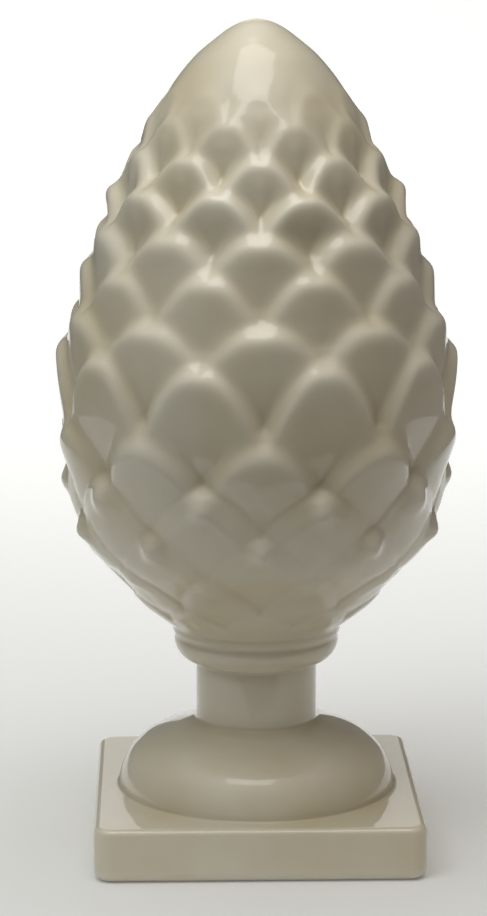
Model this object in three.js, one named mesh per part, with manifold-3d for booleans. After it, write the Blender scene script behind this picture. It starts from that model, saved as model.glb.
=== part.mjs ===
// Glazed ceramic artichoke finial: a leafy egg-shaped body on a collar, a short stem, a domed foot and a
// square plinth, slip-cast in one piece. Millimetres, +Z up, front towards -Y.
// The origin is the centre of the plinth's underside, where the ornament stands.
import * as THREE from 'three';
import { mergeVertices } from 'three/addons/utils/BufferGeometryUtils.js';
import Module from 'manifold-3d';

// Plinth
const PLINTH_WIDTH = 150;
const PLINTH_HEIGHT = 24.8;
const PLINTH_CORNER = 8;
const PLINTH_EDGE = 3;

// Domed foot and stem. The dome starts a ledge's width in from the plinth's sides.
const DOME_LEDGE = 10.5;
const DOME_HEIGHT = 34;
const STEM_RADIUS = 28;
const STEM_LENGTH = 25.7;

// Collar: a quarter-round swelling out of the stem, a thin groove and a bead under the leaves
const COLLAR_SWELL = 10.2;
const COLLAR_HEIGHT = 17;
const GROOVE_WIDTH = 1.8;
const GROOVE_DEPTH = 0.6;
const BEAD_RADIUS = 2.2;
const BEAD_PROUD = 0.8;

// Leafy body
const BODY_RADIUS = 94.7;
const BODY_HEIGHT = 278.5;
const LEAVES_PER_ROW = 10;
const LEAF_LIFT = 12;
const RIM_WIDTH = 13.5;
const NIB_HEIGHT = 3.2;
const NIB_SIZE = 4;
const NIB_DROP = 5.6;
const FACE_HOLLOW = 2.4;
const LEAD_IN = 14;

// Dome from the plinth's top to the stem: shares of its reach out from the stem and of its height
const DOME_OUTLINE = [
  [1, 0], [0.985, 0.13], [0.93, 0.305], [0.82, 0.485], [0.62, 0.655], [0.37, 0.775], [0.13, 0.86], [0, 0.94],
];

// Where the crests of the leaves lie, from the collar to the tip: shares of the body's radius and height
const CREST_OUTLINE = [
  [0.472, 0.018], [0.558, 0.044], [0.655, 0.078], [0.758, 0.112], [0.845, 0.149], [0.896, 0.192],
  [0.941, 0.250], [0.995, 0.321], [1.010, 0.390], [0.992, 0.461], [0.936, 0.533], [0.875, 0.598],
  [0.820, 0.659], [0.753, 0.724], [0.644, 0.788], [0.526, 0.849], [0.462, 0.875], [0.398, 0.901],
  [0.338, 0.924], [0.274, 0.947], [0.199, 0.968], [0.131, 0.985], [0.068, 0.9957],
];

// Rows of leaves upwards. level: tip, as a share of the body's height. lift: how far the crest stands over
// the notch above it, rim: how wide it swells to get there, nib: how high the small knob on the tip is, all
// three as shares of the full leaf's. arch: power by which the arch over the tip drops towards the flanks.
const LEAF_ROWS = [
  { level: 0.063, lift: 0.12, rim: 0.52, nib: 0.25, arch: 1.25 },
  { level: 0.128, lift: 0.18, rim: 0.59, nib: 0.38, arch: 1.25 },
  { level: 0.203, lift: 0.30, rim: 0.67, nib: 1.00, arch: 1.25 },
  { level: 0.272, lift: 0.37, rim: 0.67, nib: 0.88, arch: 1.6 },
  { level: 0.378, lift: 0.67, rim: 0.89, nib: 0, arch: 2.0 },
  { level: 0.512, lift: 0.83, rim: 0.96, nib: 0, arch: 2.0 },
  { level: 0.574, lift: 0.96, rim: 1.00, nib: 0, arch: 2.1 },
  { level: 0.650, lift: 1.00, rim: 0.96, nib: 0, arch: 2.1 },
  { level: 0.709, lift: 1.00, rim: 0.93, nib: 0, arch: 2.1 },
  { level: 0.770, lift: 0.92, rim: 0.81, nib: 0, arch: 2.1 },
  { level: 0.824, lift: 0.83, rim: 0.78, nib: 0, arch: 2.1 },
  { level: 0.872, lift: 0.67, rim: 0.70, nib: 0, arch: 2.1 },
  { level: 0.911, lift: 0.37, rim: 0.59, nib: 0, arch: 2.1 },
];

// Rim of a leaf: its arch, its flanks and how it swells from the notch to the crest
const TIP_ROUND = 0.12;
const FLANK_WIDENING = 0.17;
const LEAF_CROWN = 0.72;
const RIM_TAPER = 0.2;
const RIM_POWER = 1.3;
const FULL_SHARE = 0.67;
const OUTSIDE_FALL = 3;

// Face of a leaf under its crest: how it falls back to the notch of the rows below
const MOST_FALL = 0.5;
const LEAST_FALL = 0.03;
const FACE_LEAN = 0.05;
const NOTCH_SHARE = 0.65;
const HOLLOW_RUN = 5;
const NOTCH_SOFT = 1.4;
const CREST_SOFT = 1.4;
const END_MARGIN = 2;
const END_FALL = 0.6;

// Smooth cap: shares of the carving's length, and how far the cap's surface sinks under the rows below it
const CAP_BASE = 0.72;
const CAP_TOP = 0.9;
const CAP_SINK = 12;

// Fineness of the surface
const AROUND = 80;
const COLLAR_ANGLES = [-90, -65, -35, 0];
const OUTLINE_STEPS = 24;
const FINE_LIFT = 4;
const FINE_STEP = 6;
const FAINT_STEP = 14;
const CAP_STEP = 11;
const CORNER_STEPS = 3;
const EDGE_STEPS = 2;
const LEAST_RADIUS = 0.5;
const LEAST_RISE = 0.05;
const MERGE_DISTANCE = 1e-4;

const TAU = 2 * Math.PI;
const LEAF_PITCH = TAU / LEAVES_PER_ROW;
const DOME_RADIUS = PLINTH_WIDTH / 2 - DOME_LEDGE;
const COLLAR_RADIUS = STEM_RADIUS + COLLAR_SWELL;
const STEM_FOOT = PLINTH_HEIGHT + DOME_HEIGHT;
const STEM_TOP = STEM_FOOT + STEM_LENGTH;
const BODY_FOOT = STEM_TOP + COLLAR_HEIGHT;

const { clamp, degToRad, lerp, smoothstep } = THREE.MathUtils;

function smoothMax(a, b, softness) {
  return Math.max(a, b) + softness * Math.log1p(Math.exp(-Math.abs(a - b) / softness));
}

// Smooth outline through points of radius and height; before and after set its direction at the two ends
function smoothOutline(points, before, after) {
  const curve = new THREE.SplineCurve([before, ...points, after]);
  const spans = points.length - 1;
  const samples = [];
  for (let i = 0; i <= spans * OUTLINE_STEPS; i++) {
    samples.push(curve.getPoint((1 + i / OUTLINE_STEPS) / (spans + 2)));
  }
  return samples;
}

function domeOutline() {
  const reach = DOME_RADIUS - STEM_RADIUS;
  return DOME_OUTLINE.map(([out, up]) =>
    new THREE.Vector2(STEM_RADIUS + out * reach, PLINTH_HEIGHT + up * DOME_HEIGHT));
}

function collarOutline() {
  const groove = BODY_FOOT - 2 * BEAD_RADIUS;
  const swellTop = groove - GROOVE_WIDTH;
  const points = COLLAR_ANGLES.map((angle) => new THREE.Vector2(
    STEM_RADIUS + COLLAR_SWELL * Math.cos(degToRad(angle)),
    swellTop + (swellTop - STEM_TOP) * Math.sin(degToRad(angle)),
  ));
  points.push(new THREE.Vector2(COLLAR_RADIUS - GROOVE_DEPTH, groove));
  points.push(new THREE.Vector2(COLLAR_RADIUS + BEAD_PROUD, BODY_FOOT - BEAD_RADIUS));
  points.push(new THREE.Vector2(COLLAR_RADIUS + BEAD_PROUD, BODY_FOOT));
  return points;
}

// Outline from the root in the plinth to the tip. Over the collar it follows the crests of the leaves.
// Each sample has its length along the outline, its outward direction and its slope towards the axis.
function wholeOutline() {
  const turned = [new THREE.Vector2(DOME_RADIUS, PLINTH_HEIGHT / 2), ...domeOutline(), ...collarOutline()];
  const start = turned.at(-1);
  const points = [start];
  for (const [out, up] of CREST_OUTLINE) {
    points.push(new THREE.Vector2(out * BODY_RADIUS, BODY_FOOT + up * BODY_HEIGHT));
  }
  points.push(new THREE.Vector2(0, BODY_FOOT + BODY_HEIGHT));
  const before = new THREE.Vector2(2 * start.x - points[1].x, 2 * start.y - points[1].y);
  const after = new THREE.Vector2(-points.at(-2).x, points.at(-2).y);
  const samples = [...turned, ...smoothOutline(points, before, after).slice(1)];
  let length = 0;
  return samples.map((point, i) => {
    const last = samples[Math.max(i - 1, 0)];
    const next = samples[Math.min(i + 1, samples.length - 1)];
    length += point.distanceTo(last);
    const along = new THREE.Vector2().subVectors(next, last).normalize();
    const slope = -along.x / Math.max(along.y, LEAST_RISE);
    const isTurned = i < turned.length;
    return { length, radius: point.x, height: point.y, out: along.y, up: -along.x, slope, isTurned };
  });
}

const OUTLINE = wholeOutline();
const TURNED = OUTLINE.filter((sample) => sample.isTurned);
const CARVING_START = TURNED.at(-1).length;
const CARVING_LENGTH = OUTLINE.at(-1).length - CARVING_START;

// The outline's sample between the two that bracket a value of the given key
function outlineAt(key, value) {
  const found = OUTLINE.findIndex((sample) => sample[key] >= value);
  const high = found < 0 ? OUTLINE.length - 1 : Math.max(found, 1);
  const [a, b] = [OUTLINE[high - 1], OUTLINE[high]];
  const share = clamp((value - a[key]) / (b[key] - a[key]), 0, 1);
  const mix = (name) => lerp(a[name], b[name], share);
  return {
    length: mix('length'),
    radius: mix('radius'),
    height: mix('height'),
    out: mix('out'),
    up: mix('up'),
    slope: mix('slope'),
  };
}

// Each row in mm, with the length along the outline at which its tips lie and the outline's radius there
const LEAVES = LEAF_ROWS.map(({ level, lift, rim, nib, arch }) => {
  const { length, radius } = outlineAt('height', BODY_FOOT + level * BODY_HEIGHT);
  const strength = Math.min(1, lift / FULL_SHARE);
  const halfWidth = (radius * LEAF_PITCH) / 2;
  const sizes = { lift: lift * LEAF_LIFT, rim: rim * RIM_WIDTH, nib: nib * NIB_HEIGHT };
  return { tip: length, halfWidth, arch, strength, ...sizes };
});

// How far a row's arches drop to its flanks, where its faces end and how steeply they fall back
LEAVES.forEach((leaf, row) => {
  const [below, lower] = [LEAVES[Math.max(row - 1, 0)], LEAVES[Math.max(row - 2, 0)]];
  leaf.drop = row > 0 ? leaf.tip - below.tip : LEAD_IN;
  leaf.reach = row > 1 ? leaf.tip - lower.tip + END_MARGIN : Infinity;
  const run = Math.max(leaf.tip - lower.tip - leaf.rim, leaf.rim);
  const toNotch = (NOTCH_SHARE * Math.max(below.lift, lower.lift) - FACE_HOLLOW) / run;
  const upright = Math.min(outlineAt('length', leaf.tip - leaf.rim).slope - FACE_LEAN, MOST_FALL);
  leaf.fall = Math.max(toNotch, upright, LEAST_FALL) * leaf.strength;
});

// Height of one row of leaves over the crest outline; a leaf falls away outside its rim
function leafHeight(row, angle, length) {
  const leaf = LEAVES[row];
  const turn = angle / LEAF_PITCH - (row % 2) / 2;
  const across = 2 * (turn - Math.round(turn));
  const down = leaf.tip - length;
  const offCentre = (Math.hypot(across, TIP_ROUND) - TIP_ROUND) / (Math.hypot(1, TIP_ROUND) - TIP_ROUND);
  const steep = (leaf.drop / leaf.halfWidth) * leaf.arch * offCentre ** (leaf.arch - 1);
  const inside = (down - leaf.drop * offCentre ** leaf.arch) / (1 + steep * steep) ** FLANK_WIDENING;
  const rim = leaf.rim * (1 - RIM_TAPER * across * across);
  const past = smoothMax(inside - rim, 0, CREST_SOFT);
  const climbed = clamp((inside - past) / rim, 0, 1);
  const middle = 1 - LEAF_CROWN * across * across;
  const bevel = leaf.lift * (middle * climbed ** RIM_POWER - 1) + OUTSIDE_FALL * Math.min(inside, 0);
  const hollow = leaf.strength * FACE_HOLLOW * (1 - Math.exp(-past / HOLLOW_RUN));
  const face = (leaf.fall * past + hollow) * middle + END_FALL * Math.max(down - leaf.reach, 0);
  const offKnob = (across * leaf.halfWidth) ** 2 + (down - NIB_DROP) ** 2;
  return bevel - face + leaf.nib * Math.exp(-offKnob / (2 * NIB_SIZE ** 2));
}

// Relief of the whole body: the smooth cap under the overlapping rows of leaves
function relief(angle, length) {
  const carved = length - CARVING_START;
  const capShare = clamp((carved / CARVING_LENGTH - CAP_BASE) / (CAP_TOP - CAP_BASE), 0, 1);
  let height = -CAP_SINK * (1 - capShare) ** 2;
  for (let row = 0; row < LEAVES.length; row++) {
    height = smoothMax(height, leafHeight(row, angle, length), NOTCH_SOFT);
  }
  return height * smoothstep(carved, 0, LEAD_IN);
}

function surfacePoint(angle, length) {
  const crest = outlineAt('length', length);
  const height = length > CARVING_START ? relief(angle, length) : 0;
  const radius = Math.max(crest.radius + height * crest.out, LEAST_RADIUS);
  const level = crest.height + height * crest.up;
  return new THREE.Vector3(radius * Math.sin(angle), -radius * Math.cos(angle), level);
}

// Lengths of the mesh rows: the turned outline's own points, then even steps between the tips and knobs
function meshRows() {
  const rows = TURNED.map((sample) => sample.length);
  const stopAt = (length, step) => {
    const from = rows.at(-1);
    const steps = Math.max(1, Math.round((length - from) / step));
    for (let k = 1; k <= steps; k++) {
      rows.push(lerp(from, length, k / steps));
    }
  };
  for (const { tip, lift, nib } of LEAVES) {
    const step = lift > FINE_LIFT ? FINE_STEP : FAINT_STEP;
    if (nib > 0) {
      stopAt(tip - NIB_DROP, step);
    }
    stopAt(tip, step);
  }
  stopAt(OUTLINE.at(-1).length, CAP_STEP);
  return rows;
}

// Foot, stem, collar and leafy body in one closed surface, rooted half way down the plinth.
// Each four-sided cell is split along the diagonal that lies nearer to the true surface.
function turnedAndCarved() {
  const rows = meshRows();
  const tip = rows.pop();
  const points = rows.map((length) =>
    Array.from({ length: AROUND }, (_, i) => surfacePoint((i * TAU) / AROUND, length)));
  const root = new THREE.Vector3(0, 0, PLINTH_HEIGHT / 2);
  const crown = new THREE.Vector3(0, 0, outlineAt('length', tip).height);
  const positions = [root, ...points.flat(), crown].flatMap((point) => point.toArray());
  const at = (row, i) => 1 + row * AROUND + (i % AROUND);
  const index = [];
  for (let i = 0; i < AROUND; i++) {
    index.push(0, at(0, i + 1), at(0, i));
    index.push(at(rows.length - 1, i), at(rows.length - 1, i + 1), at(rows.length, 0));
    for (let row = 0; row < rows.length - 1; row++) {
      const middle = surfacePoint(((i + 0.5) * TAU) / AROUND, (rows[row] + rows[row + 1]) / 2);
      const next = (i + 1) % AROUND;
      const rising = points[row][i].clone().add(points[row + 1][next]).divideScalar(2).distanceTo(middle);
      const falling = points[row][next].clone().add(points[row + 1][i]).divideScalar(2).distanceTo(middle);
      const [a, b, c, d] = [at(row, i), at(row, i + 1), at(row + 1, i + 1), at(row + 1, i)];
      index.push(...(rising <= falling ? [a, b, c, a, c, d] : [a, b, d, b, c, d]));
    }
  }
  const geometry = new THREE.BufferGeometry();
  geometry.setAttribute('position', new THREE.Float32BufferAttribute(positions, 3));
  geometry.setIndex(index);
  return geometry;
}

// Square with round corners
function roundedSquare(width, corner) {
  const straight = width / 2 - corner;
  const shape = new THREE.Shape();
  shape.absarc(straight, straight, corner, 0, TAU / 4);
  shape.absarc(-straight, straight, corner, TAU / 4, TAU / 2);
  shape.absarc(-straight, -straight, corner, TAU / 2, (3 * TAU) / 4);
  shape.absarc(straight, -straight, corner, (3 * TAU) / 4, TAU);
  shape.closePath();
  return shape;
}

function plinth() {
  const shape = roundedSquare(PLINTH_WIDTH - 2 * PLINTH_EDGE, PLINTH_CORNER - PLINTH_EDGE);
  const geometry = new THREE.ExtrudeGeometry(shape, {
    depth: PLINTH_HEIGHT - 2 * PLINTH_EDGE,
    bevelThickness: PLINTH_EDGE,
    bevelSize: PLINTH_EDGE,
    bevelSegments: EDGE_STEPS,
    curveSegments: CORNER_STEPS,
  });
  geometry.translate(0, 0, PLINTH_EDGE);
  return geometry;
}

const wasm = await Module();
wasm.setup();

// Closed solid of a geometry, its shared vertices merged
function solid(geometry) {
  geometry.deleteAttribute('normal');
  geometry.deleteAttribute('uv');
  const merged = mergeVertices(geometry, MERGE_DISTANCE);
  return new wasm.Manifold(new wasm.Mesh({
    numProp: 3,
    vertProperties: new Float32Array(merged.attributes.position.array),
    triVerts: new Uint32Array(merged.index.array),
  }));
}

function geometryOf(manifold) {
  const { vertProperties, triVerts } = manifold.getMesh();
  const geometry = new THREE.BufferGeometry();
  geometry.setAttribute('position', new THREE.Float32BufferAttribute(vertProperties, 3));
  geometry.setIndex(Array.from(triVerts));
  geometry.computeVertexNormals();
  return geometry;
}

const creamGlaze = new THREE.MeshStandardMaterial({ color: 0xd9d2bd, roughness: 0.12, metalness: 0 });

const casting = solid(plinth()).add(solid(turnedAndCarved()));
const ornament = new THREE.Mesh(geometryOf(casting), creamGlaze);
ornament.name = 'artichoke_ornament';

const group = new THREE.Group();
group.add(ornament);

export default group;
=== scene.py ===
"""Glazed ceramic artichoke finial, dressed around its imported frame.

The finial is one slip casting: a square plinth, a domed foot, a short stem, a collar with a bead, and an
egg-shaped body of overlapping leaves under a smooth cap. Each part of it is a class that turns its sizes into
rings of points from the underside to the tip, and the casting stitches all the rings into one closed mesh.
Sizes are millimetres in the classes and metres in the finished mesh. The front faces -Y and column 0 of every
ring lies there.
"""

import logging
import math
from dataclasses import dataclass
from enum import Enum
from typing import Any

import bpy
import numpy as np
from mathutils import Euler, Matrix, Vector

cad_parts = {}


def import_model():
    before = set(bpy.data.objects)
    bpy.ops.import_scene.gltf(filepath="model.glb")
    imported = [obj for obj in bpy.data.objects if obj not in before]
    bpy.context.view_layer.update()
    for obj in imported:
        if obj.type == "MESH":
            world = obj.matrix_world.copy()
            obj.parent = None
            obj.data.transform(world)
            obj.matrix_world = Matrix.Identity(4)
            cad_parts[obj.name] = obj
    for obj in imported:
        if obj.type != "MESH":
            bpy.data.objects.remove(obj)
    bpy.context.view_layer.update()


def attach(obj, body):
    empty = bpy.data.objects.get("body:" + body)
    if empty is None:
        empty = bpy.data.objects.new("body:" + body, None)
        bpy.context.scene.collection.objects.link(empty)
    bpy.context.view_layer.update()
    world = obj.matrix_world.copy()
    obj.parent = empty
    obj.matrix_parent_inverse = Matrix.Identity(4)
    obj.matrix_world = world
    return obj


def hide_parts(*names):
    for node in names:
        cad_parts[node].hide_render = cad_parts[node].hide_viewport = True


LOG = logging.getLogger("artichoke_finial")
NODE = "artichoke_ornament"
BODY = "root"
# Mesh attribute of the hollows, by which the glaze is darker in the notches with painted shade and paler on the
# crests with a painted highlight.
POOL_AND_SHADE_ATTRIBUTE = "glaze_pool_and_shade"

MM = 0.001
TAU = 2 * math.pi
TINY = 1e-9
COLUMNS = 360
OCTANT = COLUMNS // 8


def smooth_max(a: np.ndarray, b: np.ndarray, softness: float) -> np.ndarray:
    """Joins two surfaces along their upper envelope with a rounded notch.

    Args:
        a: Heights of the first surface.
        b: Heights of the second surface.
        softness: How wide the rounding is, in mm.

    Returns:
        The joined heights.
    """
    return softness * np.logaddexp(a / softness, b / softness)


def smooth_curve(points: np.ndarray, before: np.ndarray, after: np.ndarray, steps: int) -> np.ndarray:
    """Draws a smooth curve through points.

    Args:
        points: Points of radius and height, one a row.
        before: Point ahead of the first one, which sets the curve's direction there.
        after: Point behind the last one, which sets the curve's direction there.
        steps: Steps between two neighbouring points.

    Returns:
        The curve's points, the given ones among them.
    """
    knots = np.vstack([before, points, after])
    spans = len(points) - 1
    place = np.linspace(0, spans, spans * steps + 1)
    first = np.minimum(place.astype(int), spans - 1)
    t = (place - first)[:, None]
    p0, p1, p2, p3 = (knots[first + k] for k in range(4))
    bend = 2 * p0 - 5 * p1 + 4 * p2 - p3 + t * (3 * (p1 - p2) + p3 - p0)
    return p1 + t / 2 * (p2 - p0 + t * bend)


def turned_ring(radius: np.ndarray | float, height: np.ndarray | float) -> np.ndarray:
    """Lays the columns of one ring round the axis.

    Args:
        radius: Radius, or one for each column.
        height: Height, or one for each column.

    Returns:
        One point a column.
    """
    angle = np.arange(COLUMNS) * TAU / COLUMNS
    level = np.broadcast_to(height, angle.shape)
    return np.stack([radius * np.sin(angle), -radius * np.cos(angle), level], axis=1)


class Arch(Enum):
    """How the arch over a leaf's tip is drawn, from pointed on the low rows to round near the cap.

    The value is the power by which the arch drops from the tip towards the flanks.
    """

    POINTED = 1.25
    OGIVE = 1.6
    FULL = 2.0
    ROUND = 2.2


@dataclass(frozen=True)
class LeafRow:
    """One ring of leaves.

    Attributes:
        level: Height of the tips, as a share of the body's height.
        lift: How far the crest stands over the notch above it, in mm.
        rim: Width of the rim that swells from the notch to the crest, in mm.
        nib: Height of the small knob on the tip, in mm.
        arch: How the tips are drawn.
    """

    level: float
    lift: float
    rim: float
    nib: float
    arch: Arch


@dataclass
class Outline:
    """A turned outline, found again by the length along it.

    Attributes:
        points: Points of radius and height, from the bottom up.
        least_rise: Slopes are taken no flatter than this.
    """

    points: np.ndarray
    least_rise: float = 0.05

    def __post_init__(self) -> None:
        """Works out the lengths, outward directions and slopes of the points."""
        steps = np.linalg.norm(np.diff(self.points, axis=0), axis=1)
        self.length = np.concatenate([[0.0], np.cumsum(steps)])
        padded = np.pad(self.points, ((1, 1), (0, 0)), mode="edge")
        along = padded[2:] - padded[:-2]
        along /= np.linalg.norm(along, axis=1, keepdims=True)
        self.outward = np.stack([along[:, 1], -along[:, 0]], axis=1)
        self.slope = -along[:, 0] / np.maximum(along[:, 1], self.least_rise)

    def at(self, length: np.ndarray | float, values: np.ndarray) -> np.ndarray:
        """Reads values kept at the points at any length along the outline."""
        return np.interp(length, self.length, values)

    def even(self, spacing: float) -> np.ndarray:
        """Gives points at even steps along the outline.

        Args:
            spacing: About how long a step is, in mm.

        Returns:
            Points of radius and height, both ends among them.
        """
        count = max(2, round(self.length[-1] / spacing) + 1)
        places = np.linspace(0, self.length[-1], count)
        return np.stack([self.at(places, self.points[:, k]) for k in (0, 1)], axis=1)


@dataclass
class Plinth:
    """Square plinth with soft corners and edges.

    Attributes:
        width: Side of the square.
        height: Height of the plinth.
        corner: Radius of the four upright corners.
        edge: Radius of the edge round the top.
        foot_edge: Radius of the edge round the underside.
        corner_columns: Columns from the side of a corner to its middle.
        edge_rings: Rings over each rounded edge.
        side_rings: Rings up each side.
        support: Width of the narrow band that keeps a flat face flat beside a rounding.
        underside_shares: Where rings lie on the flat underside, as shares of the way out to its edge.
    """

    width: float = 150.0
    height: float = 24.8
    corner: float = 8.0
    edge: float = 3.0
    foot_edge: float = 5.0
    corner_columns: int = 8
    edge_rings: int = 6
    side_rings: int = 5
    support: float = 0.4
    underside_shares: tuple[float, ...] = (0.1, 0.45, 0.8)

    def ring(self, inset: float, height: float) -> np.ndarray:
        """Lays one ring along a rounded square.

        Args:
            inset: Distance in from the plinth's sides.
            height: Height of the ring.

        Returns:
            One point a column; the columns crowd together at the corners.
        """
        corner = max(self.corner - inset, self.support)
        straight = self.width / 2 - inset - corner
        on_side = OCTANT - self.corner_columns
        share = np.append(np.linspace(0, 1 - self.support / straight, on_side), 1.0)
        side = np.stack([share * straight, np.full(on_side + 1, -straight - corner)], axis=1)
        turn = np.linspace(0, TAU / 8, self.corner_columns + 1)[1:]
        bend = np.stack([straight + corner * np.sin(turn), -straight - corner * np.cos(turn)], axis=1)
        octant = np.vstack([side, bend])
        mirrored = np.stack([-octant[::-1, 1], -octant[::-1, 0]], axis=1)
        quarter = np.vstack([octant, mirrored[1:-1]])
        quarters = []
        for _ in range(4):
            quarters.append(quarter)
            quarter = np.stack([-quarter[:, 1], quarter[:, 0]], axis=1)
        flat = np.vstack(quarters)
        return np.column_stack([flat, np.full(COLUMNS, height)])

    def rings(self) -> list[np.ndarray]:
        """Builds the underside, the sides and the rim of the top.

        Returns:
            Rings from the middle of the underside to the flat of the top.
        """
        made = [self.ring(self.width / 2 * (1 - share), 0.0) for share in self.underside_shares]
        made.append(self.ring(self.foot_edge + self.support, 0.0))
        for turn in np.linspace(0, TAU / 4, self.edge_rings):
            inset = self.foot_edge * (1 - math.sin(turn))
            made.append(self.ring(inset, self.foot_edge * (1 - math.cos(turn))))
        low, high = self.foot_edge + self.support, self.height - self.edge - self.support
        made += [self.ring(0.0, height) for height in np.linspace(low, high, self.side_rings)]
        for turn in np.linspace(0, TAU / 4, self.edge_rings):
            inset = self.edge * (1 - math.cos(turn))
            made.append(self.ring(inset, self.height - self.edge * (1 - math.sin(turn))))
        made.append(self.ring(self.edge + self.support, self.height))
        return made


@dataclass
class DomedFoot:
    """Domed foot on the plinth, rising into the stem.

    Attributes:
        base: Height of the plinth's top.
        reach: Radius of the dome where it stands on the plinth.
        stem_radius: Radius of the stem it rises into.
        height: Height of the dome.
        fillet: Radius of the glaze-filled corner between plinth and dome.
        fillet_rings: Rings over that corner.
        spacing: Distance between rings.
        shares: The dome's outline as shares of its reach out from the stem and of its height.
    """

    base: float
    reach: float
    stem_radius: float
    height: float = 34.0
    fillet: float = 0.9
    fillet_rings: int = 4
    spacing: float = 1.9
    shares: tuple[tuple[float, float], ...] = (
        (1.0, 0.0), (0.985, 0.13), (0.93, 0.305), (0.82, 0.485),
        (0.62, 0.655), (0.37, 0.775), (0.13, 0.86), (0.0, 0.94),
    )

    @property
    def top(self) -> float:
        """Height at which the dome has run into the stem."""
        return self.base + self.shares[-1][1] * self.height

    def outline(self) -> np.ndarray:
        """Draws the dome's outline.

        Returns:
            Points of radius and height, from the plinth to the stem.
        """
        span = self.reach - self.stem_radius
        shares = np.array(self.shares)
        radius, level = self.stem_radius + shares[:, 0] * span, self.base + shares[:, 1] * self.height
        points = np.stack([radius, level], axis=1)
        below = np.array([points[1, 0], 2 * points[0, 1] - points[1, 1]])
        above = np.array([points[-2, 0], 2 * points[-1, 1] - points[-2, 1]])
        return smooth_curve(points, below, above, steps=12)

    def rings(self) -> list[np.ndarray]:
        """Builds the filled corner and the dome.

        Returns:
            Rings from the plinth's top to the stem.
        """
        made = []
        for turn in np.linspace(0, TAU / 4, self.fillet_rings):
            radius = self.reach + self.fillet * (1 - math.sin(turn))
            made.append(turned_ring(radius, self.base + self.fillet * (1 - math.cos(turn))))
        outline = self.outline()
        above = outline[outline[:, 1] > self.base + self.fillet + self.spacing / 2]
        made += [turned_ring(radius, height) for radius, height in Outline(above).even(self.spacing)]
        return made


@dataclass
class StemAndCollar:
    """Short round stem, a quarter-round swelling, a thin groove and a bead under the leaves.

    Attributes:
        foot: Height at which the stem leaves the dome.
        radius: Radius of the stem.
        top: Height at which the collar starts.
        swell: How far the collar stands out from the stem.
        swell_points: Points by which its quarter round is drawn.
        collar_height: Height of the collar with its bead.
        groove_width: Height of the groove's lower side.
        groove_depth: Depth of the groove.
        bead_radius: Half the height of the bead.
        bead_proud: How far the bead stands out from the collar.
        lip: How far the bead leans outward where the leaves take over.
        spacing: Distance between rings.
    """

    foot: float
    radius: float = 28.0
    top: float = 84.5
    swell: float = 10.2
    swell_points: int = 6
    collar_height: float = 17.0
    groove_width: float = 1.8
    groove_depth: float = 0.6
    bead_radius: float = 2.2
    bead_proud: float = 0.8
    lip: float = 0.5
    spacing: float = 1.5

    @property
    def neck_radius(self) -> float:
        """Radius of the bead, where the leafy body starts."""
        return self.radius + self.swell + self.bead_proud

    def rings(self) -> list[np.ndarray]:
        """Builds the stem and the collar.

        Returns:
            Rings from the dome to the leafy body.
        """
        crown = self.top + self.collar_height
        groove = crown - 2 * self.bead_radius
        swell_top = groove - self.groove_width
        turns = np.linspace(-TAU / 4, 0, self.swell_points)
        swelling = np.stack([
            self.radius + self.swell * np.cos(turns),
            swell_top + (swell_top - self.top) * np.sin(turns),
        ], axis=1)
        bead = np.array([
            [self.radius + self.swell - self.groove_depth, groove],
            [self.neck_radius, crown - self.bead_radius],
            [self.neck_radius, crown],
        ])
        collar = np.vstack([swelling, bead])
        start = np.array([self.radius, self.top - self.spacing])
        curve = smooth_curve(collar, start, bead[-1] + [self.lip, self.bead_radius], steps=6)
        stem = np.array([[self.radius, self.foot], [self.radius, self.top - self.spacing]])
        made = np.vstack([Outline(stem).even(2 * self.spacing), Outline(curve).even(self.spacing)])
        return [turned_ring(radius, height) for radius, height in made[:-1]]


@dataclass(frozen=True)
class Ripple:
    """One slow wave that winds round the casting.

    Attributes:
        turns: Waves in one turn round the axis.
        run: Length up the body over which it moves on by a radian, in mm.
        start: Where it starts, in radians.
        size: Its share of the unevenness.
    """

    turns: int
    run: float
    start: float
    size: float = 1.0

    def at(self, angle: np.ndarray, length: np.ndarray) -> np.ndarray:
        """Reads the wave at these angles and lengths."""
        return self.size * np.sin(self.turns * angle + length / self.run + self.start)


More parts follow.
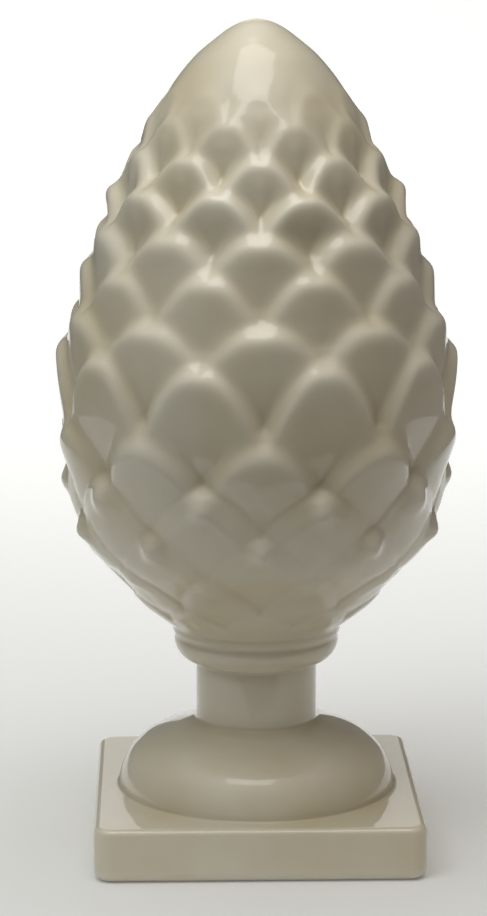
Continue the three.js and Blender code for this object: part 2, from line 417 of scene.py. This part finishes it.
@dataclass
class LeafyBody:
    """Egg-shaped body of staggered rows of leaves under a smooth cap.

    Attributes:
        foot: Height of its lower end, on the bead.
        neck_radius: Radius of its lower end.
        radius: Greatest radius of the crests.
        height: Height from the bead to the tip.
        per_row: Leaves in each row.
        lead_in: Length over which the carving rises out of the bead.
        nib_size: Size of the knobs on the lower tips.
        nib_drop: How far below the tip a knob sits.
        face_hollow: How far a face is hollowed under its crest.
        hollow_run: Length over which it is hollowed out.
        leaf_crown: How far a leaf falls back from its middle to its flanks, as a share of its lift.
        spacing: Distance between rings.
        tip_round: How blunt the tips are, as a share of half a leaf.
        flank_widening: How much wider the rim is down a steep flank: 0 is not at all, and 0.5 keeps its full
            width square to the flank.
        rim_taper: How much narrower the rim is at the flanks, as a share.
        rim_power: How the rim swells: 1 is straight, more is hollow at the notch.
        full_lift: Lift from which a row's faces are hollowed and lean in full.
        outside_fall: How steeply a leaf falls away outside its rim.
        most_fall: Steepest fall that an upright face may have.
        least_fall: Gentlest fall of a face.
        face_lean: How far the faces lean from the upright; below zero they overhang.
        notch_share: Share of the lift of the leaf below by which a face falls back to it.
        end_margin: How far a leaf runs on past the tips of the second row below it.
        end_fall: How steeply it dives under that row from there.
        notch_soft: Rounding of the notches.
        crest_soft: Rounding of the crests.
        cap_base: Where the cap starts to rise out of the leaves, as a share of the outline's length.
        cap_top: Where it has come up level with the crests.
        cap_sink: How deep it lies under the leaves where it starts.
        unevenness: How far the leaves stray up or down, in mm.
        sway: How far they stray sideways, in radians.
        least_radius: Radius of the smallest ring round the tip.
        rising: Waves in which the leaves stray up and down.
        swaying: Waves in which they stray sideways.
        crests: The crest outline, as shares of the radius and of the height.
        rows: The leaves, from the bottom up.
    """

    foot: float
    neck_radius: float
    radius: float = 94.7
    height: float = 278.5
    per_row: int = 10
    lead_in: float = 14.0
    nib_size: float = 4.3
    nib_drop: float = 5.6
    face_hollow: float = 2.4
    hollow_run: float = 5.0
    leaf_crown: float = 0.72
    spacing: float = 1.8
    tip_round: float = 0.12
    flank_widening: float = 0.17
    rim_taper: float = 0.4
    rim_power: float = 1.3
    full_lift: float = 8.0
    outside_fall: float = 3.0
    most_fall: float = 0.5
    least_fall: float = 0.03
    face_lean: float = -0.05
    notch_share: float = 0.65
    end_margin: float = 2.0
    end_fall: float = 0.6
    notch_soft: float = 1.8
    crest_soft: float = 2.2
    cap_base: float = 0.72
    cap_top: float = 0.9
    cap_sink: float = 12.0
    unevenness: float = 0.7
    sway: float = 0.006
    least_radius: float = 0.3
    rising: tuple[Ripple, ...] = (Ripple(3, 19.0, 0.6), Ripple(7, -31.0, 2.1, 0.8))
    swaying: tuple[Ripple, ...] = (Ripple(4, -23.0, 4.0), Ripple(9, 27.0, 1.0, 0.7))
    crests: tuple[tuple[float, float], ...] = (
        (0.472, 0.018), (0.558, 0.044), (0.655, 0.078), (0.758, 0.112), (0.845, 0.149), (0.896, 0.192),
        (0.941, 0.250), (0.995, 0.321), (1.010, 0.390), (0.992, 0.461), (0.936, 0.533), (0.875, 0.598),
        (0.820, 0.659), (0.753, 0.724), (0.644, 0.788), (0.526, 0.849), (0.462, 0.875), (0.398, 0.901),
        (0.338, 0.924), (0.274, 0.947), (0.199, 0.968), (0.131, 0.985), (0.068, 0.9957),
    )
    rows: tuple[LeafRow, ...] = (
        LeafRow(0.063, 1.4, 7.0, 0.8, Arch.POINTED),
        LeafRow(0.128, 2.2, 8.0, 1.2, Arch.POINTED),
        LeafRow(0.203, 3.6, 9.0, 4.4, Arch.POINTED),
        LeafRow(0.272, 4.4, 9.0, 3.2, Arch.OGIVE),
        LeafRow(0.378, 9.5, 11.5, 0.6, Arch.FULL),
        LeafRow(0.512, 10.5, 12.5, 0.0, Arch.FULL),
        LeafRow(0.574, 11.5, 13.5, 0.0, Arch.ROUND),
        LeafRow(0.650, 12.0, 13.0, 0.0, Arch.ROUND),
        LeafRow(0.709, 12.0, 12.5, 0.0, Arch.ROUND),
        LeafRow(0.770, 11.0, 11.0, 0.0, Arch.ROUND),
        LeafRow(0.824, 10.0, 10.5, 0.0, Arch.ROUND),
        LeafRow(0.872, 8.0, 9.5, 0.0, Arch.ROUND),
        LeafRow(0.911, 6.5, 7.5, 0.0, Arch.ROUND),
    )

    def __post_init__(self) -> None:
        """Draws the crest outline and finds the tips on it."""
        shares = np.array(self.crests)
        start = np.array([[self.neck_radius, self.foot]])
        tip = np.array([[0.0, self.foot + self.height]])
        middle = np.stack([shares[:, 0] * self.radius, self.foot + shares[:, 1] * self.height], axis=1)
        points = np.vstack([start, middle, tip])
        before = 2 * points[0] - points[1]
        # The outline runs on over the tip to its own mirror image, so that it is level there.
        after = points[-2] * [-1, 1]
        self.outline = Outline(smooth_curve(points, before, after, steps=24))
        levels = self.foot + np.array([row.level for row in self.rows]) * self.height
        self.tips = np.interp(levels, self.outline.points[:, 1], self.outline.length)
        self.falls = [self.face_fall(index) for index in range(len(self.rows))]
        self.reaches = [math.inf] * 2 + (self.tips[2:] - self.tips[:-2] + self.end_margin).tolist()

    def strength(self, row: LeafRow) -> float:
        """Gives how fully a row's faces are hollowed and lean, from 0 to 1."""
        return min(1.0, row.lift / self.full_lift)

    def face_fall(self, index: int) -> float:
        """Works out how steeply a row's faces fall back under their crests.

        Args:
            index: Which row, from the lowest.

        Returns:
            Fall in mm for each mm down the face, so that it reaches the notch of the leaf below it.
        """
        row = self.rows[index]
        below = max(self.rows[max(index - step, 0)].lift for step in (1, 2))
        run = self.tips[index] - self.tips[max(index - 2, 0)] - row.rim
        to_notch = (self.notch_share * below - self.face_hollow) / max(run, row.rim)
        slope = self.outline.at(self.tips[index] - row.rim, self.outline.slope)
        upright = min(slope + self.face_lean, self.most_fall)
        return max(to_notch, upright, self.least_fall) * self.strength(row)

    def leaf_height(self, index: int, angle: np.ndarray, length: np.ndarray) -> np.ndarray:
        """Gives the height of one row of leaves over the crest outline.

        Args:
            index: Which row, from the lowest.
            angle: Angle round the axis, from the front.
            length: Length along the crest outline.

        Returns:
            Heights in mm; a leaf falls away outside its rim.
        """
        row = self.rows[index]
        pitch = TAU / self.per_row
        drop = self.tips[index] - self.tips[index - 1] if index else self.lead_in
        half_leaf = self.outline.at(self.tips[index], self.outline.points[:, 0]) * pitch / 2
        # The place on the nearest leaf: from -1 to 1 between its flanks, and down from its tip.
        turn = angle / pitch - (index % 2) / 2
        across = 2 * (turn - np.round(turn))
        down = self.tips[index] - length
        # How far inside the arch it lies.
        blunt = self.tip_round
        off_centre = (np.hypot(across, blunt) - blunt) / (math.hypot(1, blunt) - blunt)
        arch = drop * off_centre ** row.arch.value
        steep = drop / half_leaf * row.arch.value * off_centre ** (row.arch.value - 1)
        inside = (down - arch) / (1 + steep ** 2) ** self.flank_widening
        # The rim climbs to the crest, and past the crest the face falls back.
        rim = row.rim * (1 - self.rim_taper * across ** 2)
        past = smooth_max(inside - rim, np.zeros_like(inside), self.crest_soft)
        climbed = np.clip((inside - past) / rim, 0, 1)
        middle = 1 - self.leaf_crown * across ** 2
        bevel = row.lift * (middle * climbed ** self.rim_power - 1)
        bevel += self.outside_fall * np.minimum(inside, 0)
        fall = self.falls[index]
        hollow = self.face_hollow * (1 - np.exp(-past / self.hollow_run))
        ended = np.maximum(down - self.reaches[index], 0)
        face = (fall * past + self.strength(row) * hollow) * middle + self.end_fall * ended
        # The knob is a small round bump under the tip.
        sideways = across * half_leaf
        reach = (sideways ** 2 + (down - self.nib_drop) ** 2) / (2 * self.nib_size ** 2)
        return bevel - face + row.nib * np.exp(-reach)

    def relief(self, angle: np.ndarray, length: np.ndarray) -> np.ndarray:
        """Gives the height of the carving over the crest outline.

        Args:
            angle: Angle round the axis, by ring and column.
            length: Length along the crest outline, by ring and column.

        Returns:
            Heights in mm.
        """
        whole = self.outline.length[-1]
        share = np.clip((length / whole - self.cap_base) / (self.cap_top - self.cap_base), 0, 1)
        height = -self.cap_sink * (1 - share) ** 2
        for index in range(len(self.rows)):
            height = smooth_max(height, self.leaf_height(index, angle, length), self.notch_soft)
        start = np.clip(length / self.lead_in, 0, 1)
        return height * start ** 2 * (3 - 2 * start)

    def rings(self) -> list[np.ndarray]:
        """Builds the carved body, with the slight unevenness of a hand-finished casting.

        Returns:
            Rings from the bead to just under the tip.
        """
        whole = self.outline.length[-1]
        count = round(whole / self.spacing)
        length = np.linspace(0, whole, count + 1)[:-1, None]
        angle = np.arange(COLUMNS)[None, :] * TAU / COLUMNS
        fade = np.sqrt(np.sin(math.pi * length / whole))
        risen = sum(ripple.at(angle, length) for ripple in self.rising)
        swayed = sum(ripple.at(angle, length) for ripple in self.swaying)
        moved = np.clip(length + self.unevenness * fade * risen, 0, whole)
        turned = angle + self.sway * fade * swayed
        height = self.relief(turned, moved)
        points, outward = self.outline.points, self.outline.outward
        radius = self.outline.at(length, points[:, 0]) + height * self.outline.at(length, outward[:, 0])
        level = self.outline.at(length, points[:, 1]) + height * self.outline.at(length, outward[:, 1])
        radius = np.maximum(radius, self.least_radius)
        return [turned_ring(radius[k], level[k]) for k in range(count)]


@dataclass(frozen=True)
class Paint:
    """Turns an sRGB hex value into the linear colour that shaders use.

    Attributes:
        code: The colour as #rrggbb.
    """

    code: str

    def linear(self) -> tuple[float, float, float, float]:
        """Works out the linear colour by the sRGB curve.

        Returns:
            Red, green and blue from 0 to 1, with full alpha.
        """
        parts = [int(self.code[k:k + 2], 16) / 255 for k in (1, 3, 5)]
        red, green, blue = (c / 12.92 if c <= 0.04045 else ((c + 0.055) / 1.055) ** 2.4 for c in parts)
        return red, green, blue, 1.0


def add_node(
    tree: bpy.types.NodeTree, kind: str, links: dict[str | int, Any] | None = None, **settings: Any,
) -> bpy.types.Node:
    """Adds a node with its settings and links.

    Args:
        tree: The node tree.
        kind: The node's type name.
        links: Input name or number to the output socket that feeds it, or to its value.
        **settings: Attributes of the node itself.

    Returns:
        The new node.
    """
    node = tree.nodes.new(kind)
    for name, value in settings.items():
        setattr(node, name, value)
    for name, value in (links or {}).items():
        if isinstance(value, bpy.types.NodeSocket):
            tree.links.new(value, node.inputs[name])
        else:
            node.inputs[name].default_value = value
    return node


@dataclass(frozen=True)
class GlazedEarthenware:
    """Cream glaze over slip-cast earthenware, dipped and fired glossy.

    The opaque glaze gives a warm off-white with a clear, wet gloss on top. It runs thicker and deeper in
    colour in the notches between the leaves, and thinner and paler over their crests. This colour change is
    partly real glaze and partly painted shade in the notches and a painted highlight on the crests.

    Attributes:
        body: Colour of the glaze over most of the surface.
        drift: Colour that it drifts to over large areas, where the kiln was hotter.
        heavy_glaze_and_shade: Colour where the glaze lies heavy in the notches, which also paints shade there.
        sparse_glaze_and_highlight: Colour where the glaze runs sparse over the crests, which also paints a
            highlight there.
        heavy_glaze_and_shade_share: How far the colour goes to the darker one in the deepest notches, glaze and
            painted shade.
        sparse_glaze_and_highlight_share: How far it goes to the paler one on the sharpest crests, glaze and
            painted highlight.
        drift_span: Where in the noise the drift starts, and where it is full.
        glaze_and_shade_span: How deep a notch or how sharp a crest is where the colour starts to change, and where
            the change is full. The change is partly glaze and partly painted shade and highlight.
        drift_size: Size of the areas of colour drift, in mm.
        wave_size: Size of the gentle waves in the glaze's surface, in mm.
        wave_height: Height of those waves, in mm.
    """

    body: Paint = Paint("#d5cdb9")
    drift: Paint = Paint("#cbbfa2")
    # Heavy glaze darkens the notches and sparse glaze pales the crests; this is partly real glaze and partly
    # painted shade in the notches and a painted highlight on the crests.
    heavy_glaze_and_shade: Paint = Paint("#b3a580")
    sparse_glaze_and_highlight: Paint = Paint("#e2dccd")
    drift_span: tuple[float, float] = (0.35, 0.7)
    glaze_and_shade_span: tuple[float, float] = (0.1, 1.0)
    heavy_glaze_and_shade_share: float = 0.35
    sparse_glaze_and_highlight_share: float = 0.4
    drift_size: float = 60.0
    wave_size: float = 22.0
    wave_height: float = 0.25

    def material(self) -> bpy.types.Material:
        """Builds the glaze.

        Returns:
            A node material for the whole casting.
        """
        (drift_start, drift_full), (pool_start, pool_full) = self.drift_span, self.glaze_and_shade_span
        # Opaque cream glaze gives a soft, warm off-white, and its fired surface a clear gloss like glass.
        made = bpy.data.materials.new("cream_glazed_earthenware")
        made.use_nodes = True
        tree = made.node_tree
        tree.nodes.clear()
        place = add_node(tree, "ShaderNodeTexCoord").outputs["Object"]
        cloud = add_node(tree, "ShaderNodeTexNoise", {
            "Vector": place, "Scale": 1 / (self.drift_size * MM), "Detail": 3.0, "Roughness": 0.5,
        }).outputs["Fac"]
        patch = add_node(tree, "ShaderNodeMapRange", {
            "Value": cloud, "From Min": drift_start, "From Max": drift_full, "To Min": 0.0, "To Max": 1.0,
        }).outputs["Result"]
        base = add_node(tree, "ShaderNodeMix", {
            "Factor": patch, "A": self.body.linear(), "B": self.drift.linear(),
        }, data_type="RGBA").outputs["Result"]
        # The hollow measure turns the notches darker and the crests paler: partly real glaze, partly painted shade
        # in the notches and a painted highlight on the crests.
        pool_and_shade = add_node(tree, "ShaderNodeAttribute", attribute_name=POOL_AND_SHADE_ATTRIBUTE).outputs["Fac"]
        heavy_glaze_and_shade_factor = add_node(tree, "ShaderNodeMapRange", {
            "Value": pool_and_shade, "From Min": pool_start, "From Max": pool_full,
            "To Min": 0.0, "To Max": self.heavy_glaze_and_shade_share,
        }).outputs["Result"]
        sparse_glaze_and_highlight_factor = add_node(tree, "ShaderNodeMapRange", {
            "Value": pool_and_shade, "From Min": -pool_start, "From Max": -pool_full,
            "To Min": 0.0, "To Max": self.sparse_glaze_and_highlight_share,
        }).outputs["Result"]
        deeper = add_node(tree, "ShaderNodeMix", {
            "Factor": heavy_glaze_and_shade_factor, "A": base, "B": self.heavy_glaze_and_shade.linear(),
        }, data_type="RGBA").outputs["Result"]
        paler = add_node(tree, "ShaderNodeMix", {
            "Factor": sparse_glaze_and_highlight_factor, "A": deeper, "B": self.sparse_glaze_and_highlight.linear(),
        }, data_type="RGBA").outputs["Result"]
        waves = add_node(tree, "ShaderNodeTexNoise", {
            "Vector": place, "Scale": 1 / (self.wave_size * MM), "Detail": 2.0, "Roughness": 0.4,
        }).outputs["Fac"]
        bump = add_node(tree, "ShaderNodeBump", {
            "Height": waves, "Strength": 1.0, "Distance": self.wave_height * MM,
        }).outputs["Normal"]
        # A fired glaze is a glass with an IOR of 1.5. The coat is its clear surface, and the roughness under it is
        # that of the cloudy glaze, which scatters the light.
        shader = add_node(tree, "ShaderNodeBsdfPrincipled", {
            "Base Color": paler, "Normal": bump, "Coat Normal": bump, "Metallic": 0.0,
            "Roughness": 0.45, "IOR": 1.5, "Coat Weight": 1.0, "Coat Roughness": 0.055, "Coat IOR": 1.5,
        })
        add_node(tree, "ShaderNodeOutputMaterial", {"Surface": shader.outputs["BSDF"]})
        return made


@dataclass
class Casting:
    """The whole finial in one closed mesh.

    Attributes:
        plinth: The square plinth.
        glaze: The finish of the whole casting.
        ledge: How far the dome stands in from the plinth's sides.
        ledge_rings: Rings over the flat ledge between plinth and dome.
        hollow_reach: Rings and columns over which the hollows are measured.
        pool_and_shade_depth: Depth of a hollow that is filled with heavy glaze and painted shade, in mm.
    """

    plinth: Plinth
    glaze: GlazedEarthenware
    ledge: float = 10.5
    ledge_rings: int = 4
    hollow_reach: int = 5
    pool_and_shade_depth: float = 1.1

    def __post_init__(self) -> None:
        """Sets the foot, the stem with its collar, and the leafy body on the plinth."""
        reach = self.plinth.width / 2 - self.ledge
        self.foot = DomedFoot(self.plinth.height, reach, StemAndCollar.radius)
        self.stem = StemAndCollar(self.foot.top + StemAndCollar.spacing)
        self.body = LeafyBody(self.stem.top + self.stem.collar_height, self.stem.neck_radius)

    def grid(self) -> np.ndarray:
        """Stacks the rings of all the parts.

        Returns:
            Points by ring and column, in mm.
        """
        plinth, dome = self.plinth.rings(), self.foot.rings()
        shares = np.linspace(0, 1, self.ledge_rings + 2)[1:-1]
        ledge = [plinth[-1] * (1 - share) + dome[0] * share for share in shares]
        return np.stack(plinth + ledge + dome + self.stem.rings() + self.body.rings())

    def hollows(self, grid: np.ndarray) -> np.ndarray:
        """Measures how far each point lies in a hollow.

        Args:
            grid: Points by ring and column.

        Returns:
            1 in a notch where glaze pools and shade is painted, 0 on a flat face, -1 on a sharp crest where
            a highlight is painted.
        """
        width = self.hollow_reach
        weights = np.exp(-np.arange(-width, width + 1) ** 2 / (width ** 2 / 2))
        weights /= weights.sum()
        padded = np.pad(grid, ((width, width), (0, 0), (0, 0)), mode="edge")
        upward = sum(w * padded[k:k + len(grid)] for k, w in enumerate(weights))
        smooth = sum(w * np.roll(upward, k - width, axis=1) for k, w in enumerate(weights))
        around = np.roll(grid, -1, axis=1) - np.roll(grid, 1, axis=1)
        outward = np.cross(around, np.gradient(grid, axis=0))
        outward /= np.linalg.norm(outward, axis=2, keepdims=True) + TINY
        return np.clip(((smooth - grid) * outward).sum(axis=2) / self.pool_and_shade_depth, -1, 1)

    def build(self) -> bpy.types.Object:
        """Stitches the rings into one mesh and dresses it.

        Returns:
            The finial, riding on the frame in place of its plain solid.
        """
        grid = self.grid()
        rings = len(grid)
        last = rings * COLUMNS + 1
        tip = [0.0, 0.0, self.body.foot + self.body.height]
        points = np.vstack([np.zeros(3), grid.reshape(-1, 3), tip]) * MM
        index = 1 + np.arange(rings * COLUMNS).reshape(rings, COLUMNS)
        beside = np.roll(index, -1, axis=1)
        quads = np.stack([index[:-1], beside[:-1], beside[1:], index[1:]], axis=2).reshape(-1, 4)
        faces = quads.tolist()
        faces += [[0, b, a] for a, b in zip(index[0].tolist(), beside[0].tolist())]
        faces += [[a, b, last] for a, b in zip(index[-1].tolist(), beside[-1].tolist())]
        mesh = bpy.data.meshes.new("artichoke_finial")
        mesh.from_pydata(points.tolist(), [], faces)
        mesh.polygons.foreach_set("use_smooth", [True] * len(mesh.polygons))
        # The hollow measure feeds the glaze's colour: painted shade in the notches and a painted highlight on the
        # crests, over real glaze pooling.
        pool_and_shade = mesh.attributes.new(POOL_AND_SHADE_ATTRIBUTE, "FLOAT", "POINT")
        pool_and_shade.data.foreach_set("value", np.concatenate([[0.0], self.hollows(grid).ravel(), [0.0]]))
        mesh.materials.append(self.glaze.material())
        mesh.update()
        piece = bpy.data.objects.new("artichoke_finial", mesh)
        bpy.context.scene.collection.objects.link(piece)
        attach(piece, BODY)
        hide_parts(NODE)
        return piece


@dataclass(frozen=True)
class SoftBox:
    """A flat studio light.

    Attributes:
        name: Its name.
        place: Where it hangs, in metres.
        aim: Where it points.
        size: Its width and height.
        power: Its power in watts.
        mirrored: Whether the glaze mirrors it.
        shading: Whether it lights matt surfaces.
    """

    name: str
    place: tuple[float, float, float]
    aim: tuple[float, float, float]
    size: tuple[float, float]
    power: float
    mirrored: bool = True
    shading: bool = True

    def build(self) -> None:
        """Hangs the light."""
        lamp = bpy.data.lights.new(self.name, "AREA")
        lamp.shape = "RECTANGLE"
        lamp.size, lamp.size_y = self.size
        lamp.energy = self.power
        made = bpy.data.objects.new(self.name, lamp)
        made.visible_glossy = self.mirrored
        made.visible_diffuse = self.shading
        made.location = self.place
        made.rotation_euler = (Vector(self.aim) - Vector(self.place)).to_track_quat("-Z", "Y").to_euler()
        bpy.context.scene.collection.objects.link(made)


@dataclass(frozen=True)
class Studio:
    """Pale floor that sweeps up behind the finial, soft light and the camera.

    Attributes:
        sweep_front: Front edge of the floor, in metres.
        sweep_back: Where the floor starts to curve up.
        sweep_radius: Radius of the curve.
        sweep_top: Height of the backdrop.
        sweep_half: Half the floor's width.
        sweep_steps: Steps round the curve.
        ground: Colour of the paper on the floor and the backdrop.
        camera_place: The camera's place.
        camera_pitch: Its downward tilt, in degrees.
        camera_yaw: Its turn towards +X, in degrees.
        lens: Its focal length in mm on a 36 mm sensor.
        near_clip: The nearest distance that it shows.
        ceiling_aim: Direction of the brightest part of the room's ceiling.
        ceiling_edge: Cosine of the angle from there at which the ceiling's glow has faded.
        ceiling_glow: Strength of the ceiling's glow.
        room_glow: Strength of the glow elsewhere in the room.
        backdrop_glow: How brightly the backdrop is lit from behind.
        floor_glow: How brightly the floor's front is lit from below.
        glow_span: Where the floor's glow starts to rise and where it is that of the backdrop.
        left_tint: Colour of the room's light from the left.
        right_tint: Colour of its light from the right.
        tint_span: How far to each side the tints reach their full strength.
        lights: The lights over the finial. The overhead box and the window light it, and the skylight is
            what its glaze mirrors, so that the gloss is set apart from the shade.
    """

    sweep_front: float = -0.25
    sweep_back: float = 3.4
    sweep_radius: float = 0.8
    sweep_top: float = 3.0
    sweep_half: float = 0.6
    sweep_steps: int = 12
    ground: Paint = Paint("#e4e4e3")
    camera_place: tuple[float, float, float] = (-0.0417, -1.3473, 0.4491)
    camera_pitch: float = 11.32
    camera_yaw: float = 1.52
    lens: float = 117.27
    near_clip: float = 0.05
    ceiling_aim: tuple[float, float, float] = (-0.06, -0.14, 0.988)
    ceiling_edge: float = 0.5
    ceiling_glow: float = 0.85
    room_glow: float = 0.15
    backdrop_glow: float = 0.65
    floor_glow: float = 0.03
    glow_span: tuple[float, float] = (-0.3, 1.2)
    left_tint: Paint = Paint("#f6fdf8")
    right_tint: Paint = Paint("#fff6ec")
    tint_span: float = 0.7
    lights: tuple[SoftBox, ...] = (
        SoftBox("overhead", (-0.08, -0.12, 0.84), (0.0, 0.0, 0.2), (0.64, 0.64), 2.3, mirrored=False),
        SoftBox("window", (-0.9, -0.95, 1.6), (0.0, 0.0, 0.25), (0.75, 0.5), 4.2, mirrored=False),
        SoftBox("skylight", (-0.05, -0.24, 1.45), (0.0, 0.0, 0.3), (0.74, 0.9), 4.3, shading=False),
    )

    def sweep(self) -> None:
        """Lays the floor and its backdrop in one curved sheet."""
        path = [(self.sweep_front, 0.0)]
        for turn in np.linspace(0, TAU / 4, self.sweep_steps + 1):
            behind = self.sweep_back + self.sweep_radius * math.sin(turn)
            path.append((behind, self.sweep_radius * (1 - math.cos(turn))))
        path.append((self.sweep_back + self.sweep_radius, self.sweep_top))
        points = [(side * self.sweep_half, y, z) for y, z in path for side in (-1, 1)]
        faces = [(2 * k, 2 * k + 1, 2 * k + 3, 2 * k + 2) for k in range(len(path) - 1)]
        mesh = bpy.data.meshes.new("studio_sweep")
        mesh.from_pydata(points, [], faces)
        mesh.polygons.foreach_set("use_smooth", [True] * len(mesh.polygons))
        # Matt paper gives a soft pale ground that mirrors nothing.
        paper = bpy.data.materials.new("matt_paper_backdrop")
        paper.use_nodes = True
        shader = paper.node_tree.nodes["Principled BSDF"]
        shader.inputs["Base Color"].default_value = self.ground.linear()
        shader.inputs["Roughness"].default_value = 0.9
        shader.inputs["Specular IOR Level"].default_value = 0.1
        place = add_node(paper.node_tree, "ShaderNodeTexCoord").outputs["Object"]
        depth = add_node(paper.node_tree, "ShaderNodeSeparateXYZ", {"Vector": place}).outputs["Y"]
        lit = add_node(paper.node_tree, "ShaderNodeMapRange", {
            "Value": depth, "From Min": self.glow_span[0], "From Max": self.glow_span[1],
            "To Min": self.floor_glow, "To Max": self.backdrop_glow,
        }, interpolation_type="SMOOTHSTEP").outputs["Result"]
        shader.inputs["Emission Color"].default_value = Paint("#ffffff").linear()
        paper.node_tree.links.new(lit, shader.inputs["Emission Strength"])
        mesh.materials.append(paper)
        floor = bpy.data.objects.new("studio_sweep", mesh)
        bpy.context.scene.collection.objects.link(floor)

    def light(self) -> None:
        """Hangs the lights and sets the room's faint glow."""
        for light in self.lights:
            light.build()
        world = bpy.data.worlds.new("studio_room")
        world.use_nodes = True
        tree = world.node_tree
        direction = add_node(tree, "ShaderNodeTexCoord").outputs["Generated"]
        overhead = add_node(tree, "ShaderNodeVectorMath", {
            0: direction, 1: self.ceiling_aim,
        }, operation="DOT_PRODUCT")
        glow = add_node(tree, "ShaderNodeMapRange", {
            "Value": overhead.outputs["Value"], "From Min": self.ceiling_edge, "From Max": 1.0,
            "To Min": self.room_glow, "To Max": self.ceiling_glow,
        }, interpolation_type="SMOOTHSTEP").outputs["Result"]
        sideways = add_node(tree, "ShaderNodeSeparateXYZ", {"Vector": direction}).outputs["X"]
        turned = add_node(tree, "ShaderNodeMapRange", {
            "Value": sideways, "From Min": -self.tint_span, "From Max": self.tint_span,
        })
        tint = add_node(tree, "ShaderNodeMix", {
            "Factor": turned.outputs["Result"], "A": self.left_tint.linear(), "B": self.right_tint.linear(),
        }, data_type="RGBA").outputs["Result"]
        background = tree.nodes["Background"]
        tree.links.new(tint, background.inputs["Color"])
        tree.links.new(glow, background.inputs["Strength"])
        bpy.context.scene.world = world
        bpy.context.scene.view_settings.view_transform = "Standard"

    def camera(self) -> None:
        """Sets the camera at the photograph's place."""
        lens = bpy.data.cameras.new("camera")
        lens.lens = self.lens
        lens.clip_start = self.near_clip
        made = bpy.data.objects.new("camera", lens)
        made.location = self.camera_place
        tilt, turn = math.radians(90 - self.camera_pitch), -math.radians(self.camera_yaw)
        made.rotation_euler = Euler((tilt, 0.0, turn))
        bpy.context.scene.collection.objects.link(made)
        bpy.context.scene.camera = made

    def build(self) -> None:
        """Sets up the whole studio."""
        self.sweep()
        self.light()
        self.camera()


def main() -> None:
    """Loads the frame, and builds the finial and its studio."""
    logging.basicConfig(level=logging.INFO, format="%(name)s: %(message)s")
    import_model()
    Studio().build()
    LOG.info("studio: floor, lights and camera")
    finial = Casting(Plinth(), GlazedEarthenware()).build()
    LOG.info("%s: %d faces", finial.name, len(finial.data.polygons))


if __name__ == "__main__":
    main()
